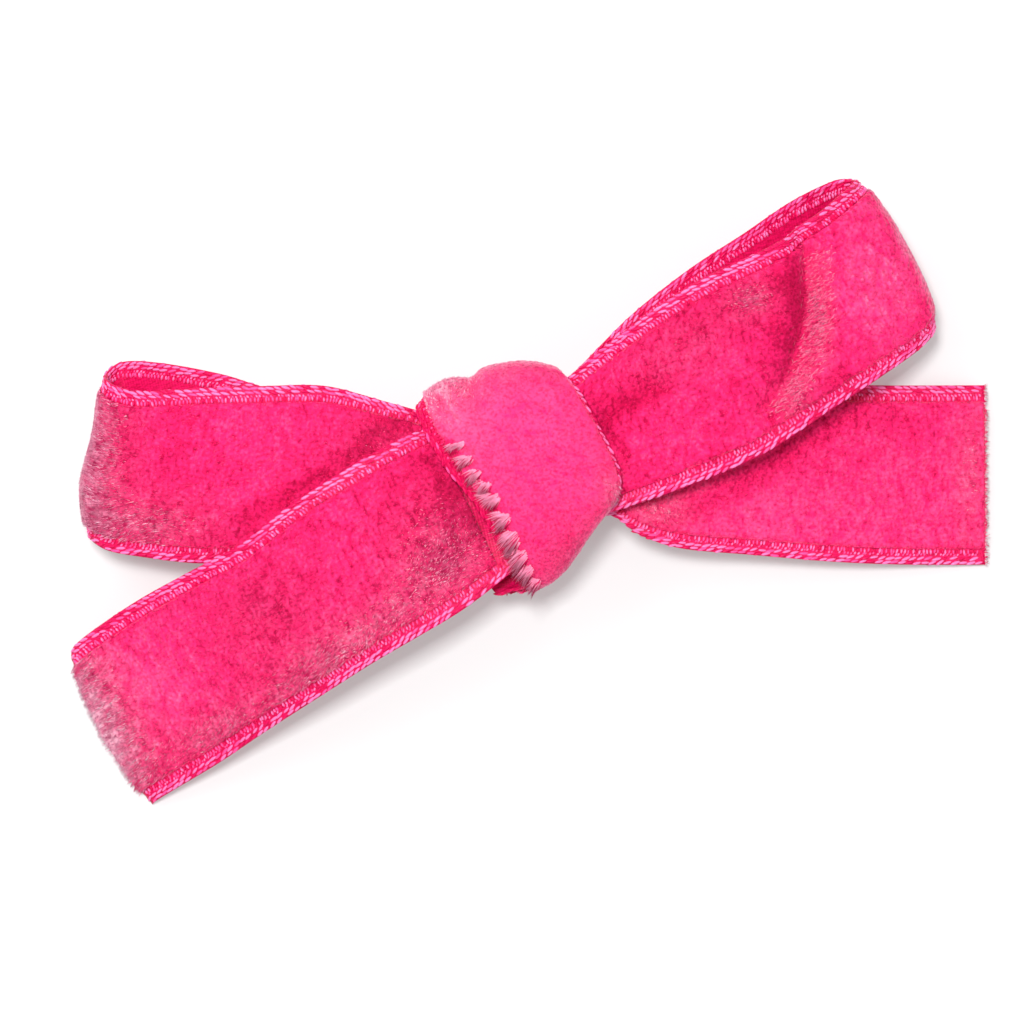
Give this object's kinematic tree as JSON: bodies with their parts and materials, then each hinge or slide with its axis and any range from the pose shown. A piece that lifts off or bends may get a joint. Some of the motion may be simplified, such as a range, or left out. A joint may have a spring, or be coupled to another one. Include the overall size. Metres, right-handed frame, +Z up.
{
  "type": "bow barrette",
  "caption": "Hair barrette with a velvet ribbon bow on an arched steel spring clip that opens at a pinch-release clasp.",
  "frame": {"origin": "middle of the part's footprint, on the plane that the closed clip stands on", "axes": "+X along the clip from its hinge to its clasp, +Z up out of the bow's face"},
  "size_m": [0.1205, 0.0551, 0.0243],
  "materials": {
    "clip_steel": "bright nickel-plated spring steel",
    "velvet": "short-pile velvet ribbon with a stitched selvedge",
    "thread": "polyester sewing thread"
  },
  "bodies": {
    "bow_and_plate": {"base_plate": "clip_steel", "hinge_pin": "clip_steel", "tension_bar": "clip_steel", "clasp_body": "clip_steel", "clasp_rivet": "clip_steel", "binding_thread": "thread", "knot_wrap": "velvet", "left_loop": "velvet", "left_tail": "velvet", "right_loop": "velvet", "right_tail": "velvet"},
    "arm": {"clasp_arm": "clip_steel"},
    "front_wing": {"front_wing": "clip_steel"},
    "back_wing": {"back_wing": "clip_steel"}
  },
  "joints": [
    {"name": "arm_hinge", "type": "hinge", "parent": "bow_and_plate", "child": "arm", "pos_m": [-0.0328, 0, 0.0018], "axis": [0, 1, 0], "range_deg": [0, 75]},
    {"name": "front_wing_squeeze", "type": "hinge", "parent": "bow_and_plate", "child": "front_wing", "pos_m": [0.031, -0.0026, 0.00586], "axis": [1, 0, 0], "range_deg": [0, 6.5], "stiffness_Nm_per_rad": 0.05},
    {"name": "back_wing_squeeze", "type": "hinge", "parent": "bow_and_plate", "child": "back_wing", "pos_m": [0.031, 0.0026, 0.00586], "axis": [-1, 0, 0], "range_deg": [0, 6.5], "stiffness_Nm_per_rad": 0.05}
  ]
}
